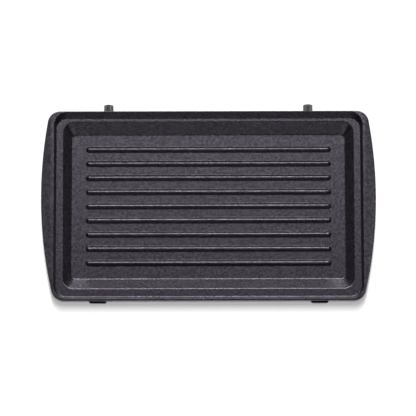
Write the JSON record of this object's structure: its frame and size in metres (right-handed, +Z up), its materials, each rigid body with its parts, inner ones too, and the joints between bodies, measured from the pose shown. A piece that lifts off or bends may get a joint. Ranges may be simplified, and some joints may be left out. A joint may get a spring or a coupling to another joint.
{
  "type": "grill plate",
  "caption": "Removable non-stick grill plate: ridged cooking recess inside a raised lip, bowed side ears, hinge pins at the back and latch tongues at the front.",
  "frame": {"origin": "centre of the heater contact ring, in the plane of its face, under the middle of the plate", "axes": "+X to the plate's right as the cook sees it, +Y to the hinge edge at the back, +Z up out of the cooking face"},
  "size_m": [0.2544, 0.1526, 0.018],
  "materials": {
    "coated_casting": "satin",
    "coated_pin": "satin",
    "coated_tongue": "satin"
  },
  "bodies": {
    "root": {"grill_plate": "coated_casting", "left_hinge_pin": "coated_pin", "right_hinge_pin": "coated_pin", "left_latch_tongue": "coated_tongue", "right_latch_tongue": "coated_tongue"}
  },
  "joints": []
}
